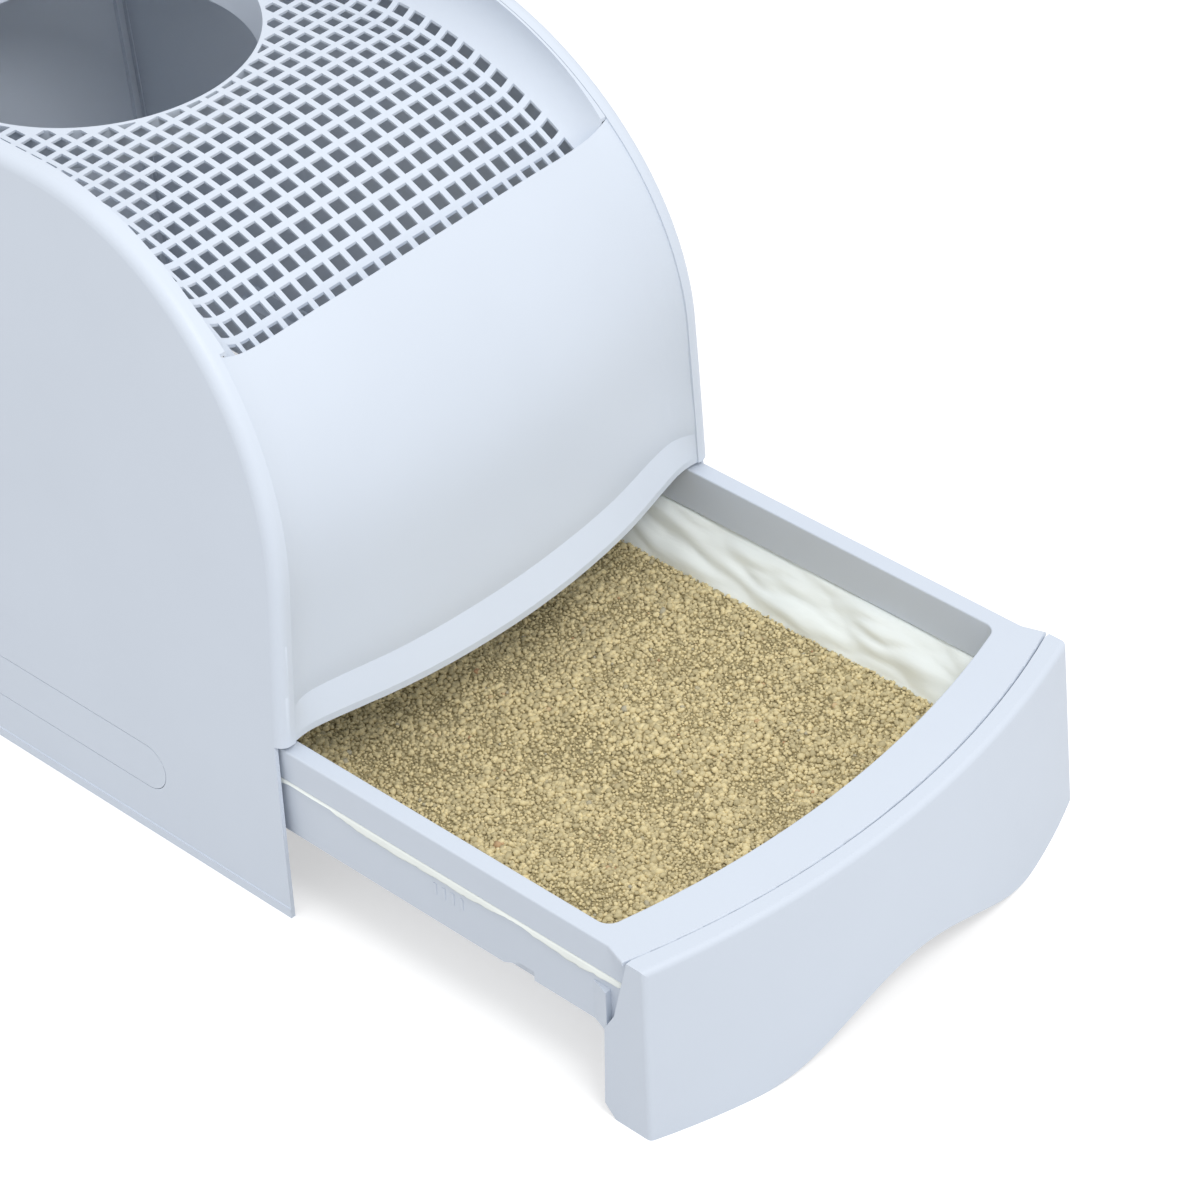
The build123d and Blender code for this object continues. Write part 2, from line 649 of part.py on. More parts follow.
def main():
    os.makedirs("parts", exist_ok=True)
    pieces = all_pieces()
    boxes = [piece.bounding_box() for piece in pieces.values()]
    middle = (min(b.min.Y for b in boxes) + max(b.max.Y for b in boxes)) / 2
    print("shift along Y", -middle)
    for name, piece in pieces.items():
        print(name, piece.is_valid, len(piece.solids()), piece.bounding_box())
        export_step(Pos(0, -middle, 0) * piece, f"parts/{name}.step")


if __name__ == "__main__":
    main()
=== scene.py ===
"""Looks of a top-entry litter box with a pull-out drawer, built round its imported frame.

Metres, in the frame's own axes: +Z up, X across the box, the drawer pulls out towards -Y.
"""
from math import ceil, cos, pi, radians, sin, sqrt, tau
from random import Random

import bmesh
import bpy
from bpy.props import FloatProperty, FloatVectorProperty, IntProperty, PointerProperty
from mathutils import Euler, Matrix, Vector, noise


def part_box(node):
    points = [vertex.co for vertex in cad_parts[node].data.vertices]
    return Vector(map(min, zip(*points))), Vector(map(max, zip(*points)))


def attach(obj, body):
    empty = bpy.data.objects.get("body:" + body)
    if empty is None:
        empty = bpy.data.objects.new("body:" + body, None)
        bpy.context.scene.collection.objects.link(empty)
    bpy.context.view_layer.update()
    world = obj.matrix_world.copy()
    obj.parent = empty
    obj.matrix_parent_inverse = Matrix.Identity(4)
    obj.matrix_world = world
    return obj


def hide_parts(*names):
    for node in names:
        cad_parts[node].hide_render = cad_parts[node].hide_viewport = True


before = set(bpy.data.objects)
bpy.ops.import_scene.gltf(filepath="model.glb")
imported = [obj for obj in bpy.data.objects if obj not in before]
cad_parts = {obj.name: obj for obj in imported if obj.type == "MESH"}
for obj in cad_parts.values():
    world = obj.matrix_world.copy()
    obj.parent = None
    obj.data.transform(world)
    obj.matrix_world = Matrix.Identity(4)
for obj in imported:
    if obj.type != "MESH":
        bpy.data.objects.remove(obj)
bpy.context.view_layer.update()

bl_info = {
    "name": "Litter Box Looks",
    "version": (1, 0, 0),
    "blender": (4, 5, 0),
    "location": "View3D > Sidebar > Litter Box",
    "description": "Dresses the packed litter box: moulded plastic, liner film, litter and a plain studio",
    "category": "Object",
}

MM = 0.001

# Places read from the frame
BAG_LOW, BAG_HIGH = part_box("liner_bag")
BED_LOW, BED_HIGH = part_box("litter_bed")
FRAME_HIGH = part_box("liner_frame")[1]
TRAY_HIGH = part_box("drawer_tray")[1]
HOOD_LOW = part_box("hood_shell")[0]

# The bowed seam behind the drawer front is part of this circle
SEAM_BOW = 29.3 * MM
SEAM_RADIUS = (FRAME_HIGH.x**2 + SEAM_BOW**2) / (2 * SEAM_BOW)

# The drawer's plan, with the shares of the way half round it where its rear and its side end
CORNER_RADIUS = 10 * MM
REAR_END = 0.135
SIDE_END = 0.845
CORNER_WALK = 0.016

# Tones beside the ones that a user sets
# The drawer's pieces get the hood's plastic darkened all over: painted shade
DRAWER_PAINTED_SHADE = 0.95
ROUGHNESS_SWING = 0.05
GREY_GRAIN = (0.47, 0.44, 0.34)
RUSTY_GRAIN = (0.46, 0.27, 0.15)
FLOOR_COLOUR = (0.62, 0.62, 0.62, 1)
FLOOR_GLOW = 0.52
WHITE = (1, 1, 1, 1)

# The film's cross-section: insets from the bag's outside, and heights
FILM_TOP_Z = BAG_HIGH.z - 0.3 * MM
FILM_TURN_Z = BAG_HIGH.z - 8.4 * MM
FILM_FLOOR_Z = BAG_LOW.z + 0.5 * MM
FILM_WALL = 9.1 * MM
FILM_BEND = 0.9 * MM
BED_LINE_INSET = BAG_HIGH.x - BED_HIGH.x - 1.5 * MM
SLOPE_NORMAL = Vector((FILM_TURN_Z - BED_HIGH.z, BED_LINE_INSET - FILM_WALL)).normalized()

# Stations of the cross-section after the torn edge: rows up to each, its inset and its height
FILM_STATIONS = {
    "shoulder": (5, 0.75 * MM, TRAY_HIGH.z + 0.1 * MM),
    "rim": (1, 1.4 * MM, FILM_TOP_Z),
    "mouth": (4, FILM_WALL - FILM_BEND, FILM_TOP_Z),
    "wall": (1, FILM_WALL, FILM_TOP_Z - FILM_BEND),
    "turn": (3, FILM_WALL + 0.2 * MM, FILM_TURN_Z),
    "bed_line": (22, BED_LINE_INSET, BED_HIGH.z - 3 * MM),
    "heel": (4, BED_LINE_INSET + 2 * MM, FILM_FLOOR_Z),
    "middle": (7, BAG_HIGH.x - 4 * MM, FILM_FLOOR_Z),
}
SLACK_STATION = "bed_line"
TURNS = 540
MERGE_DISTANCE = 0.02 * MM

# The torn edge, and its waves round the mouth: pace, start in the noise and share
EDGE_INSET = 0.55 * MM
EDGE_Z = TRAY_HIGH.z + 0.4 * MM
LEAST_DROP = 0.6 * MM
EDGE_FLARE = 0.35 * MM
FLARE_PACE = 90
EDGE_HANG = 0.18
EDGE_WAVES = (
    (2.6, (3.1, 0.4, 1.7), 0.85),
    (13, (0.2, 5.5, 0.9), 0.25),
    (55, (7.7, 2.1, 4.2), 0.12),
)

# The film's creases run along its slope and fall a little on their way round
MOUTH_LENGTH = 1.7
SLOPE_WIDTH = 45 * MM
FOLD_LEAN = 0.12
FOLD_FADE = 0.6

# Folds and hills: size in two directions, start in the noise and share
FOLDS = (
    ((0.12, 0.026), (0, 0, 0.3), 1.6),
    ((0.05, 0.011), (4.4, 0, 2.7), 0.75),
)
HILLS = (
    ((0.085, 0.110), (2.3, 0.6, 0.4), 0.9),
    ((0.048, 0.060), (8.1, 3.3, 1.9), 0.35),
)
HILL_FADE = 30 * MM
EDGE_HILL = 0.2

# The bed, whose rim tucks into the film, and the grains that reach a little past it
BED_TUCK = 2 * MM
GRAIN_REACH = 3 * MM
MOUND_COLUMNS = 80
MOUND_ROWS = 140
MOUND_SINK = 1.1 * MM
GRAIN_SINK = 0.9 * MM
GRAIN_RISE = 0.25

# The scatter of grains: shares of a grain's size, and ranges of its shape
GRAIN_KINDS = 7
GRAIN_LUMPS = (0.82, 1.2)
GRAIN_PITCH = 0.88
GRAIN_LAYOUT = 0.866
GRAIN_SHAKE = 0.42
GRAIN_SPREAD = 0.32
GRAIN_LIMITS = (0.5, 2.0)
GRAIN_TILT = 0.5
GRAIN_SHAPE = ((0.85, 1.25), (0.75, 1.05), (0.6, 0.9))
COARSE_PATCH = (0.035, 0.035)
COARSE_START = (0, 0, 6.1)
COARSE_SHARE = 0.45
SCATTER_MARGIN = 6 * MM
LITTER_PATCHES = 4

# The studio
FLOOR_HALF = 9
LAMP_PLACE = Vector((-0.6, -1.8, 2.9))
LAMP_AIM = Vector((0, 0, 0.2))
LAMP_SIZE = 1.1
SENSOR_WIDTH = 36
CAMERA_REACH = 50


class LitterBoxPlastic(bpy.types.PropertyGroup):
    """Finish of the moulded pieces."""

    colour: FloatVectorProperty(
        name="Colour",
        description="Colour of the moulded plastic",
        subtype="COLOR",
        size=3,
        min=0,
        max=1,
        default=(0.63, 0.69, 0.78),
    )
    roughness: FloatProperty(
        name="Roughness",
        description="How matt the moulded surface is",
        subtype="FACTOR",
        min=0,
        max=1,
        default=0.46,
    )
    grain: FloatProperty(
        name="Moulded grain",
        description="Size of the fine texture that the mould leaves",
        subtype="DISTANCE",
        unit="LENGTH",
        default=0.9 * MM,
    )


class LitterBoxLiner(bpy.types.PropertyGroup):
    """Sizes and finish of the liner film."""

    colour: FloatVectorProperty(
        name="Colour",
        description="Colour of the milky film",
        subtype="COLOR",
        size=3,
        min=0,
        max=1,
        default=(0.86, 0.90, 0.87),
    )
    thickness: FloatProperty(
        name="Thickness",
        description="Thickness of the film",
        subtype="DISTANCE",
        unit="LENGTH",
        default=0.15 * MM,
    )
    fold: FloatProperty(
        name="Fold depth",
        description="How far the slack film stands out in folds",
        subtype="DISTANCE",
        unit="LENGTH",
        default=6.5 * MM,
    )
    edge: FloatProperty(
        name="Turned edge",
        description="Widest stretch of the edge that shows below the frame",
        subtype="DISTANCE",
        unit="LENGTH",
        default=8 * MM,
    )


class LitterBoxLitter(bpy.types.PropertyGroup):
    """Sizes and colours of the litter."""

    colour: FloatVectorProperty(
        name="Grain colour",
        description="Colour of most grains",
        subtype="COLOR",
        size=3,
        min=0,
        max=1,
        default=(0.68, 0.58, 0.34),
    )
    # Darker than the grains: partly the dust's own tone, partly painted shade between the grains
    dust_and_shade: FloatVectorProperty(
        name="Dust colour",
        description="Colour of the bed between the grains",
        subtype="COLOR",
        size=3,
        min=0,
        max=1,
        default=(0.40, 0.335, 0.185),
    )
    grain: FloatProperty(
        name="Grain size",
        description="Width of a middling grain",
        subtype="DISTANCE",
        unit="LENGTH",
        default=2.65 * MM,
    )
    swell: FloatProperty(
        name="Swell",
        description="Height of the bed's soft hills",
        subtype="DISTANCE",
        unit="LENGTH",
        default=10.0 * MM,
    )
    seed: IntProperty(name="Seed", description="Choice of the scatter", default=7)


class LitterBoxStage(bpy.types.PropertyGroup):
    """Camera and light."""

    azimuth: FloatProperty(
        name="Azimuth",
        description="Heading of the camera, clockwise from +Y",
        subtype="ANGLE",
        unit="ROTATION",
        default=radians(46.079),
    )
    elevation: FloatProperty(
        name="Elevation",
        description="How far the camera looks down",
        subtype="ANGLE",
        unit="ROTATION",
        default=radians(38.533),
    )
    roll: FloatProperty(
        name="Roll",
        description="Turn of the camera about its own line of sight",
        subtype="ANGLE",
        unit="ROTATION",
        default=radians(-2.401),
    )
    place: FloatVectorProperty(
        name="Camera",
        description="Where the camera stands, from the middle of the hood's front foot",
        subtype="XYZ",
        unit="LENGTH",
        size=3,
        default=(-1.3978, -1.4007, 1.7038),
    )
    lens: FloatProperty(
        name="Lens",
        description="Focal length in millimetres on a 36 mm sensor",
        subtype="DISTANCE_CAMERA",
        default=132.23,
    )
    key: FloatProperty(
        name="Key light",
        description="Power of the large lamp above the front",
        subtype="POWER",
        unit="POWER",
        default=38,
    )
    fill: FloatProperty(
        name="Sky",
        description="Strength of the even light from all sides",
        subtype="FACTOR",
        min=0,
        default=0.94,
    )


class LitterBoxSettings(bpy.types.PropertyGroup):
    """Everything that a user would change."""

    plastic: PointerProperty(type=LitterBoxPlastic)
    liner: PointerProperty(type=LitterBoxLiner)
    litter: PointerProperty(type=LitterBoxLitter)
    stage: PointerProperty(type=LitterBoxStage)


def settings():
    """The scene's own settings for this box."""
    return bpy.context.scene.litter_box


def clamped(value, low, high):
    """A value kept between two ends."""
    return min(max(value, low), high)


def patches(x, y, size, start):
    """Noise in soft patches of a size, read from a starting place."""
    return noise.noise(Vector((x / size[0] + start[0], y / size[1] + start[1], start[2])))


# Materials

def new_material(name):
    """A new node material, its tree and its shader."""
    material = bpy.data.materials.new(name)
    material.use_nodes = True
    return material, material.node_tree, material.node_tree.nodes["Principled BSDF"]


def object_noise(tree, scale, detail, roughness=0.5, stretch=(1, 1, 1)):
    """Noise that stays fixed to the piece."""
    nodes = tree.nodes
    place = nodes.new("ShaderNodeTexCoord")
    mapping = nodes.new("ShaderNodeMapping")
    mapping.inputs["Scale"].default_value = stretch
    texture = nodes.new("ShaderNodeTexNoise")
    texture.inputs["Scale"].default_value = scale
    texture.inputs["Detail"].default_value = detail
    texture.inputs["Roughness"].default_value = roughness
    tree.links.new(place.outputs["Object"], mapping.inputs["Vector"])
    tree.links.new(mapping.outputs["Vector"], texture.inputs["Vector"])
    return texture.outputs["Fac"]


def spread(tree, source, low, high):
    """A noise brought to a range of values."""
    node = tree.nodes.new("ShaderNodeMapRange")
    node.inputs["To Min"].default_value = low
    node.inputs["To Max"].default_value = high
    tree.links.new(source, node.inputs["Value"])
    return node.outputs["Result"]


def tones(colour, *stops):
    """Stops of one colour, made darker or lighter, from (place, share) pairs."""
    return [(place, [min(channel * share, 1) for channel in colour]) for place, share in stops]


def tint(tree, shader, source, stops):
    """Colour a shader by the values of a source, from (place, colour) stops."""
    node = tree.nodes.new("ShaderNodeValToRGB")
    ramp = node.color_ramp
    while len(ramp.elements) < len(stops):
        ramp.elements.new(0.5)
    for element, (place, colour) in zip(ramp.elements, stops):
        element.position = place
        element.color = (*colour, 1)
    tree.links.new(source, node.inputs["Fac"])
    tree.links.new(node.outputs["Color"], shader.inputs["Base Color"])


def bump(tree, shader, source, strength, distance):
    """Relief on a shader from one height."""
    node = tree.nodes.new("ShaderNodeBump")
    node.inputs["Strength"].default_value = strength
    node.inputs["Distance"].default_value = distance
    tree.links.new(source, node.inputs["Height"])
    tree.links.new(node.outputs["Normal"], shader.inputs["Normal"])


def moulded_plastic(name, painted_shade=1.0):
    """Satin moulded plastic with a fine grain, hardly uneven in tone. A share below 1 darkens its whole
    colour as painted shade.
    """
    plastic = settings().plastic
    material, tree, shader = new_material(name)
    stops = tones(plastic.colour, (0.3, 0.985 * painted_shade), (0.7, 1.01 * painted_shade))
    tint(tree, shader, object_noise(tree, scale=9, detail=3), stops)
    matt = object_noise(tree, scale=55, detail=4)
    rough = spread(tree, matt, plastic.roughness - ROUGHNESS_SWING, plastic.roughness + ROUGHNESS_SWING)
    tree.links.new(rough, shader.inputs["Roughness"])
    shader.inputs["Specular IOR Level"].default_value = 0.42
    grain = object_noise(tree, scale=1 / plastic.grain, detail=2)
    bump(tree, shader, grain, strength=0.12, distance=0.06 * MM)
    return material


def milky_film():
    """Thin milky film with fine creases between its folds."""
    liner = settings().liner
    material, tree, shader = new_material("milky_film")
    tone = object_noise(tree, scale=26, detail=4, stretch=(1, 0.45, 1.6))
    tint(tree, shader, tone, tones(liner.colour, (0.25, 0.93), (0.6, 1.0), (0.8, 1.04)))
    shader.inputs["Roughness"].default_value = 0.5
    shader.inputs["Specular IOR Level"].default_value = 0.4
    crease = object_noise(tree, scale=60, detail=6, roughness=0.62, stretch=(1, 0.4, 1.5))
    bump(tree, shader, crease, strength=0.5, distance=0.8 * MM)
    return material


def litter_grain():
    """Dry clay grains: each has its own tone, a few are grey or rusty."""
    litter = settings().litter
    material, tree, shader = new_material("litter_grain")
    tone = tree.nodes.new("ShaderNodeAttribute")
    tone.attribute_name = "tone"
    clay = tones(litter.colour, (0.006, 0.72), (0.5, 0.96), (0.996, 1.18))
    tint(tree, shader, tone.outputs["Fac"], [(0.0, GREY_GRAIN), *clay, (0.9985, RUSTY_GRAIN)])
    shader.inputs["Roughness"].default_value = 0.95
    shader.inputs["Specular IOR Level"].default_value = 0.15
    bump(tree, shader, object_noise(tree, scale=1900, detail=3), strength=0.5, distance=0.25 * MM)
    return material


def litter_dust_and_shade():
    """The crumbly bed between and under the grains, coloured darker than them: partly the dust's own tone,
    partly painted shade in the gaps between grains.
    """
    litter = settings().litter
    material, tree, shader = new_material("litter_dust_and_shade")
    tone = object_noise(tree, scale=640, detail=4)
    tint(tree, shader, tone, tones(litter.dust_and_shade, (0.3, 0.45), (0.7, 1.4)))
    shader.inputs["Roughness"].default_value = 0.97
    shader.inputs["Specular IOR Level"].default_value = 0.1
    bump(tree, shader, object_noise(tree, scale=520, detail=4), strength=0.9, distance=1.2 * MM)
    return material


# The drawer's plan, shared by the liner and the litter

def front_at(x, inset):
    """Where the bowed front of the drawer's plan lies, this far inside the bag."""
    return BAG_LOW.y + inset + SEAM_RADIUS - sqrt(SEAM_RADIUS**2 - x**2)


def bent(start, corner, end, share):
    """A point of the soft bend round a corner."""
    return start.lerp(corner, share).lerp(corner.lerp(end, share), share)


def plan_point(turn, inset):
    """A point on the drawer's plan, this far inside the bag, turn going once round from 0 to 1."""
    side = 1 if turn < 0.5 else -1
    walk = 2 * turn if side > 0 else 2 - 2 * turn
    half = BAG_HIGH.x - inset
    rear = BAG_HIGH.y - inset
    front = front_at(half, inset)
    inner = half - CORNER_RADIUS
    side_start = Vector((half, rear - CORNER_RADIUS))
    side_stop = Vector((half, front + CORNER_RADIUS))
    if walk < REAR_END - CORNER_WALK:
        point = Vector((inner * walk / (REAR_END - CORNER_WALK), rear))
    elif walk < REAR_END + CORNER_WALK:
        share = (walk - REAR_END + CORNER_WALK) / (2 * CORNER_WALK)
        point = bent(Vector((inner, rear)), Vector((half, rear)), side_start, share)
    elif walk < SIDE_END - CORNER_WALK:
        share = (walk - REAR_END - CORNER_WALK) / (SIDE_END - REAR_END - 2 * CORNER_WALK)
        point = side_start.lerp(side_stop, share)
    elif walk < SIDE_END + CORNER_WALK:
        share = (walk - SIDE_END + CORNER_WALK) / (2 * CORNER_WALK)
        end = Vector((inner, front_at(inner, inset)))
        point = bent(side_stop, Vector((half, front)), end, share)
    else:
        x = inner * (1 - (walk - SIDE_END - CORNER_WALK) / (1 - SIDE_END - CORNER_WALK))
        point = Vector((x, front_at(x, inset)))
    return Vector((side * point.x, point.y))


def drawer_piece(bm, name, material):
    """Makes a smooth object of a bmesh, at the origin, riding on the drawer."""
    mesh = bpy.data.meshes.new(name)
    bm.to_mesh(mesh)
    bm.free()
    mesh.materials.append(material)
    mesh.polygons.foreach_set("use_smooth", [True] * len(mesh.polygons))
    piece = bpy.data.objects.new(name, mesh)
    bpy.context.scene.collection.objects.link(piece)
    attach(piece, "drawer")
    return piece


class LITTERBOX_OT_dress_plastic(bpy.types.Operator):
    """Give every moulded piece its satin plastic"""

    bl_idname = "litterbox.dress_plastic"
    bl_label = "Dress Moulded Plastic"

    def execute(self, context):
        hood = moulded_plastic("hood_plastic")
        # Same plastic as the hood, darkened: painted shade on the tray, front and frame
        drawer = moulded_plastic("drawer_plastic_painted_shade", DRAWER_PAINTED_SHADE)
        dressed = {
            "hood_shell": hood,
            "entry_deck": hood,
            "runner_left": hood,
            "runner_right": hood,
            "drawer_tray": drawer,
            "drawer_front": drawer,
            "liner_frame": drawer,
        }
        for name, material in dressed.items():
            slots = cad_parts[name].material_slots
            if not slots:
                raise RuntimeError(f"{name} has no material slot")
            for place in slots:
                place.material = material
        return {"FINISHED"}


# The liner film

def ragged(turn):
    """How far the turned-out edge hangs at a place round the mouth, from 0 to 1."""
    swing = Vector((cos(tau * turn), sin(tau * turn), 0))
    hang = EDGE_HANG
    for pace, start, share in EDGE_WAVES:
        hang += share * noise.noise(swing * pace + Vector(start))
    return clamped(hang, 0.0, 1.0)


def film_edge(turn):
    """Inset and height of the film's torn edge at a place round the mouth."""
    drop = LEAST_DROP + settings().liner.edge * ragged(turn)
    flare = EDGE_FLARE * (1 + noise.noise(Vector((FLARE_PACE * turn, 0.7, 0.2))))
    return EDGE_INSET - flare, EDGE_Z - drop


def film_fold(turn, share):
    """How far the slack film billows between its creases, from the frame down to the litter."""
    along = MOUTH_LENGTH * turn
    across = SLOPE_WIDTH * share - FOLD_LEAN * along
    wave = sum(weight * abs(patches(along, across, size, start)) for size, start, weight in FOLDS)
    return wave * sin(pi * clamped(share, 0, 1)) ** FOLD_FADE


def film_rows():
    """The film's rows from its torn edge in: two stations, the share between them, whether it is slack."""
    rows = []
    start = None
    for name, (count, *end) in FILM_STATIONS.items():
        rows += [(start, end, step / count, name == SLACK_STATION) for step in range(count)]
        start = end
    rows.append((start, start, 0, False))
    return rows


def film_place(turn, start, end, share, slack):
    """Inset and height of the film on one of its rows; a row without a start begins at the torn edge."""
    outer_inset, outer_z = start or film_edge(turn)
    inner_inset, inner_z = end
    inset = outer_inset + (inner_inset - outer_inset) * share
    height = outer_z + (inner_z - outer_z) * share
    if slack:
        out = settings().liner.fold * film_fold(turn, share)
        inset += out * SLOPE_NORMAL.x
        height += out * SLOPE_NORMAL.y
    return inset, height


class LITTERBOX_OT_lay_liner(bpy.types.Operator):
    """Lay the liner film in the tray, its mouth turned out under the frame"""

    bl_idname = "litterbox.lay_liner"
    bl_label = "Lay Liner Film"

    def execute(self, context):
        rows = film_rows()
        last = len(rows) - 1
        bm = bmesh.new()
        bmesh.ops.create_grid(bm, x_segments=TURNS, y_segments=last, size=0.5)
        for vert in bm.verts:
            turn = vert.co.x + 0.5
            inset, height = film_place(turn, *rows[round((vert.co.y + 0.5) * last)])
            place = plan_point(turn % 1, inset)
            vert.co = (place.x, place.y, height)
        bmesh.ops.remove_doubles(bm, verts=bm.verts, dist=MERGE_DISTANCE)
        slit = [edge for edge in bm.edges if edge.is_boundary and edge.verts[0].co.z < BED_LOW.z]
        bmesh.ops.holes_fill(bm, edges=slit)
        bmesh.ops.recalc_face_normals(bm, faces=bm.faces)
        piece = drawer_piece(bm, "liner_film", milky_film())
        shell = piece.modifiers.new("film thickness", "SOLIDIFY")
        shell.thickness = settings().liner.thickness
        shell.offset = 0
        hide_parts("liner_bag")
        return {"FINISHED"}


# The litter

def in_bed(x, y, margin):
    """Whether a place lies on the litter bed, this far inside its edge."""
    inset = BED_LINE_INSET - GRAIN_REACH + margin
    half = BAG_HIGH.x - inset
    if abs(x) > half or y > BAG_HIGH.y - inset:
        return False
    return y > front_at(x, inset)


def bed_height(x, y):
    """Height of the bed with its soft hills, which are lower near its edge."""
    hills = sum(share * patches(x, y, size, start) for size, start, share in HILLS)
    edge = min(BED_HIGH.x - abs(x), BED_HIGH.y - y, y - front_at(x, BED_LINE_INSET)) / HILL_FADE
    return BED_HIGH.z + settings().litter.swell * hills * clamped(edge, EDGE_HILL, 1)


def bed_plan(across, along):
    """A place on the bed from two shares, each from -1 to 1, with its corners rounded."""
    inset = BED_LINE_INSET - BED_TUCK
    half = BAG_HIGH.x - inset
    x = half * across
    front = front_at(x, inset)
    rear = BAG_HIGH.y - inset
    y = front + (rear - front) * (along + 1) / 2
    end = rear if along > 0 else front
    inner = half - CORNER_RADIUS
    dx = (abs(x) - inner) / CORNER_RADIUS
    dy = 1 - abs(end - y) / CORNER_RADIUS
    if dx > 0 and dy > 0:
        shrink = max(dx, dy) / sqrt(dx**2 + dy**2)
        x = (inner + CORNER_RADIUS * dx * shrink) * (1 if x > 0 else -1)
        y = end + (1 - dy * shrink) * CORNER_RADIUS * (-1 if along > 0 else 1)
    return x, y


def litter_mound():
    """The bed as a closed solid with soft hills on top."""
    bm = bmesh.new()
    bmesh.ops.create_grid(bm, x_segments=MOUND_COLUMNS, y_segments=MOUND_ROWS, size=1)
    for vert in bm.verts:
        x, y = bed_plan(vert.co.x, vert.co.y)
        vert.co = (x, y, bed_height(x, y) - MOUND_SINK)
    grown = bmesh.ops.extrude_face_region(bm, geom=bm.faces[:])
    for part in grown["geom"]:
        if isinstance(part, bmesh.types.BMVert):
            part.co.z = BED_LOW.z
    bmesh.ops.recalc_face_normals(bm, faces=bm.faces)
    return bm


def grain_kinds(rng):
    """A few lumpy closed grains about one unit wide, each a mesh and its points' numbers in a row."""
    kinds = []
    for index in range(GRAIN_KINDS):
        bm = bmesh.new()
        bm.verts.layers.float.new("tone")
        bmesh.ops.create_icosphere(bm, subdivisions=1, radius=0.5)
        for vert in bm.verts:
            vert.co *= rng.uniform(*GRAIN_LUMPS)
        mesh = bpy.data.meshes.new(f"grain_{index}")
        bm.to_mesh(mesh)
        bm.free()
        kinds.append((mesh, [number for vert in mesh.vertices for number in vert.co]))
    return kinds


def scatter(rng):
    """Places, turns and sizes of the grains, with a tone each: rows that are shaken out of line."""
    grain = settings().litter.grain
    pitch = grain * GRAIN_PITCH
    rows = ceil((BED_HIGH.y - BED_LOW.y + 2 * SCATTER_MARGIN) / (pitch * GRAIN_LAYOUT))
    columns = ceil((BED_HIGH.x - BED_LOW.x + 2 * SCATTER_MARGIN) / pitch)

    def shaken():
        return rng.uniform(-GRAIN_SHAKE, GRAIN_SHAKE)

    def tilted():
        return rng.uniform(-GRAIN_TILT, GRAIN_TILT)

    for row in range(rows):
        for column in range(columns):
            x = (column - columns / 2 + 0.5 * (row % 2) + shaken()) * pitch
            y = BED_LOW.y - SCATTER_MARGIN + (row + shaken()) * pitch * GRAIN_LAYOUT
            coarse = COARSE_SHARE * patches(x, y, COARSE_PATCH, COARSE_START)
            size = grain * clamped(rng.lognormvariate(coarse, GRAIN_SPREAD), *GRAIN_LIMITS)
            turn = Euler((tilted(), tilted(), rng.uniform(0, tau)))
            shape = Vector([rng.uniform(*limits) for limits in GRAIN_SHAPE])
            tone = rng.random()
            if in_bed(x, y, size / 2):
                height = bed_height(x, y) - GRAIN_SINK + size * rng.uniform(0.0, GRAIN_RISE)
                yield Matrix.LocRotScale(Vector((x, y, height)), turn, shape * size), tone


class LITTERBOX_OT_pour_litter(bpy.types.Operator):
    """Fill the liner with a bed of loose clay grains"""

    bl_idname = "litterbox.pour_litter"
    bl_label = "Pour Litter"

    def execute(self, context):
        rng = Random(settings().litter.seed)
        bed = drawer_piece(litter_mound(), "litter_mound", litter_dust_and_shade())
        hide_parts("litter_bed")
        kinds = grain_kinds(rng)
        parts = [bmesh.new() for _ in range(LITTER_PATCHES)]
        for part in parts:
            part.verts.layers.float.new("tone")
        length = BED_HIGH.y - BED_LOW.y
        for matrix, tone in scatter(rng):
            mesh, numbers = kinds[rng.randrange(GRAIN_KINDS)]
            mesh.vertices.foreach_set("co", numbers)
            mesh.transform(matrix)
            mesh.attributes["tone"].data.foreach_set("value", [tone] * len(mesh.vertices))
            share = (matrix.translation.y - BED_LOW.y) / length
            parts[clamped(int(share * LITTER_PATCHES), 0, LITTER_PATCHES - 1)].from_mesh(mesh)
        material = litter_grain()
        for index, part in enumerate(parts):
            drawer_piece(part, f"litter_grains_{index + 1}", material)
        for mesh, _ in kinds:
            bpy.data.meshes.remove(mesh)
        return {"FINISHED"}


# The stage

def seen_strength(tree, strength):
    """A strength where the camera sees it straight, in a reflection or through glass, and else none."""
    nodes = tree.nodes
    path = nodes.new("ShaderNodeLightPath")
    total = path.outputs["Is Camera Ray"]
    for name in ("Is Glossy Ray", "Is Transmission Ray"):
        larger = nodes.new("ShaderNodeMath")
        larger.operation = "MAXIMUM"
        tree.links.new(total, larger.inputs[0])
        tree.links.new(path.outputs[name], larger.inputs[1])
        total = larger.outputs["Value"]
    scaled = nodes.new("ShaderNodeMath")
    scaled.operation = "MULTIPLY"
    scaled.inputs[1].default_value = strength
    tree.links.new(total, scaled.inputs[0])
    return scaled.outputs["Value"]


def floor_material():
    """Pale floor that keeps its shadows and is brightened where it is seen."""
    material, tree, shader = new_material("pale_floor")
    shader.inputs["Base Color"].default_value = FLOOR_COLOUR
    shader.inputs["Roughness"].default_value = 0.9
    shader.inputs["Specular IOR Level"].default_value = 0.0
    shader.inputs["Emission Color"].default_value = WHITE
    tree.links.new(seen_strength(tree, FLOOR_GLOW), shader.inputs["Emission Strength"])
    return material


def pale_floor():
    """The floor that the box stands on."""
    bm = bmesh.new()
    bmesh.ops.create_grid(bm, x_segments=1, y_segments=1, size=FLOOR_HALF)
    mesh = bpy.data.meshes.new("floor")
    bm.to_mesh(mesh)
    bm.free()
    mesh.materials.append(floor_material())
    floor = bpy.data.objects.new("floor", mesh)
    bpy.context.scene.collection.objects.link(floor)


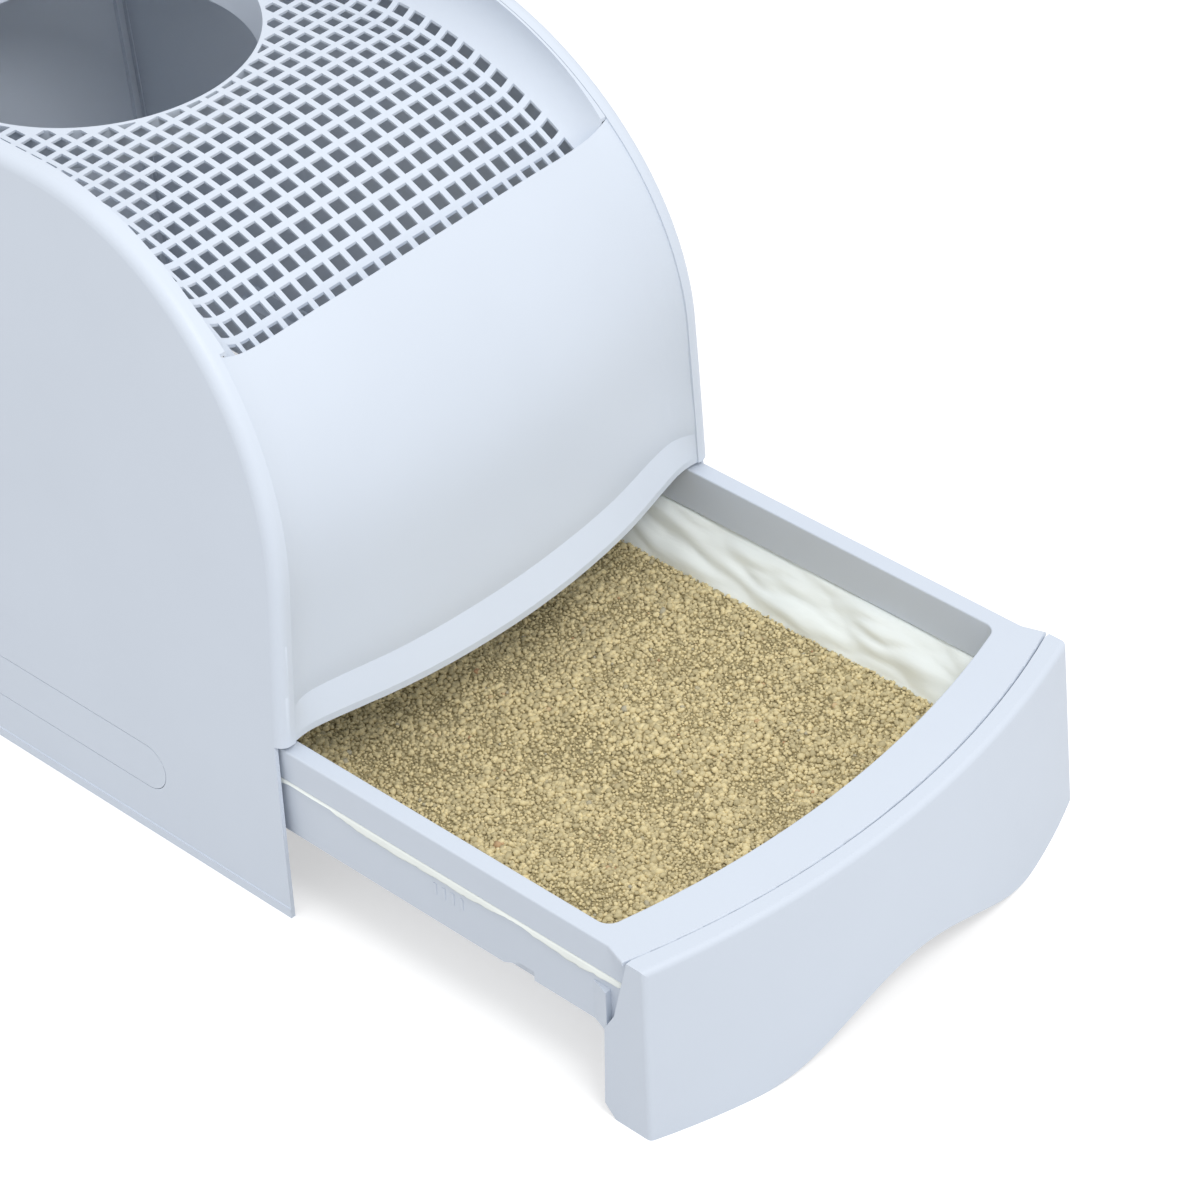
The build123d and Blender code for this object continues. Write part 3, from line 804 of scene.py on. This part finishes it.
def white_world(fill):
    """Even light from all sides, white where it is seen."""
    world = bpy.data.worlds.new("white_studio")
    world.use_nodes = True
    tree = world.node_tree
    sky = tree.nodes["Background"]
    sky.inputs["Color"].default_value = WHITE
    strength = spread(tree, seen_strength(tree, 1), fill, 1)
    tree.links.new(strength, sky.inputs["Strength"])
    return world


def key_lamp(power):
    """One large soft lamp above the front, turned to the box."""
    light = bpy.data.lights.new("key", "AREA")
    light.shape = "DISK"
    light.size = LAMP_SIZE
    light.energy = power
    lamp = bpy.data.objects.new("key", light)
    lamp.location = LAMP_PLACE
    lamp.rotation_euler = (LAMP_AIM - LAMP_PLACE).to_track_quat("-Z", "Y").to_euler()
    bpy.context.scene.collection.objects.link(lamp)


def photo_camera(stage):
    """The camera at the photograph's angle."""
    data = bpy.data.cameras.new("camera")
    data.sensor_width = SENSOR_WIDTH
    data.lens = stage.lens
    data.clip_end = CAMERA_REACH
    camera = bpy.data.objects.new("camera", data)
    az, el, roll = stage.azimuth, stage.elevation, stage.roll
    ahead = Vector((sin(az) * cos(el), cos(az) * cos(el), -sin(el)))
    level = Vector((cos(az), -sin(az), 0))
    above = level.cross(ahead)
    right = cos(roll) * level + sin(roll) * above
    up = cos(roll) * above - sin(roll) * level
    turn = Matrix((right, up, -ahead)).transposed().to_4x4()
    foot = Vector((0, HOOD_LOW.y, 0))
    camera.matrix_world = Matrix.Translation(foot + Vector(stage.place)) @ turn
    bpy.context.scene.collection.objects.link(camera)
    bpy.context.scene.camera = camera


class LITTERBOX_OT_set_stage(bpy.types.Operator):
    """Set up the pale floor, the soft light and the camera"""

    bl_idname = "litterbox.set_stage"
    bl_label = "Set Stage"

    def execute(self, context):
        stage = settings().stage
        pale_floor()
        context.scene.world = white_world(stage.fill)
        key_lamp(stage.key)
        photo_camera(stage)
        context.scene.view_settings.view_transform = "Standard"
        return {"FINISHED"}


class LITTERBOX_PT_looks(bpy.types.Panel):
    """Lists the steps and settings of the box's looks"""

    bl_idname = "LITTERBOX_PT_looks"
    bl_label = "Litter Box Looks"
    bl_space_type = "VIEW_3D"
    bl_region_type = "UI"
    bl_category = "Litter Box"

    def draw(self, context):
        layout = self.layout
        chosen = context.scene.litter_box
        for group in (chosen.plastic, chosen.liner, chosen.litter, chosen.stage):
            box = layout.box()
            for name in group.__annotations__:
                box.prop(group, name)
        for operator in OPERATORS:
            layout.operator(operator.bl_idname)


GROUPS = (LitterBoxPlastic, LitterBoxLiner, LitterBoxLitter, LitterBoxStage, LitterBoxSettings)
OPERATORS = (
    LITTERBOX_OT_dress_plastic,
    LITTERBOX_OT_lay_liner,
    LITTERBOX_OT_pour_litter,
    LITTERBOX_OT_set_stage,
)


def register():
    """Make the settings, operators and panel known to Blender."""
    for cls in (*GROUPS, *OPERATORS, LITTERBOX_PT_looks):
        bpy.utils.register_class(cls)
    bpy.types.Scene.litter_box = PointerProperty(type=LitterBoxSettings)


def unregister():
    """Take the settings, operators and panel away again."""
    del bpy.types.Scene.litter_box
    for cls in reversed((*GROUPS, *OPERATORS, LITTERBOX_PT_looks)):
        bpy.utils.unregister_class(cls)


def main():
    """Dress the box and set the stage."""
    register()
    bpy.ops.litterbox.dress_plastic()
    bpy.ops.litterbox.lay_liner()
    bpy.ops.litterbox.pour_litter()
    bpy.ops.litterbox.set_stage()


if __name__ == "__main__":
    main()
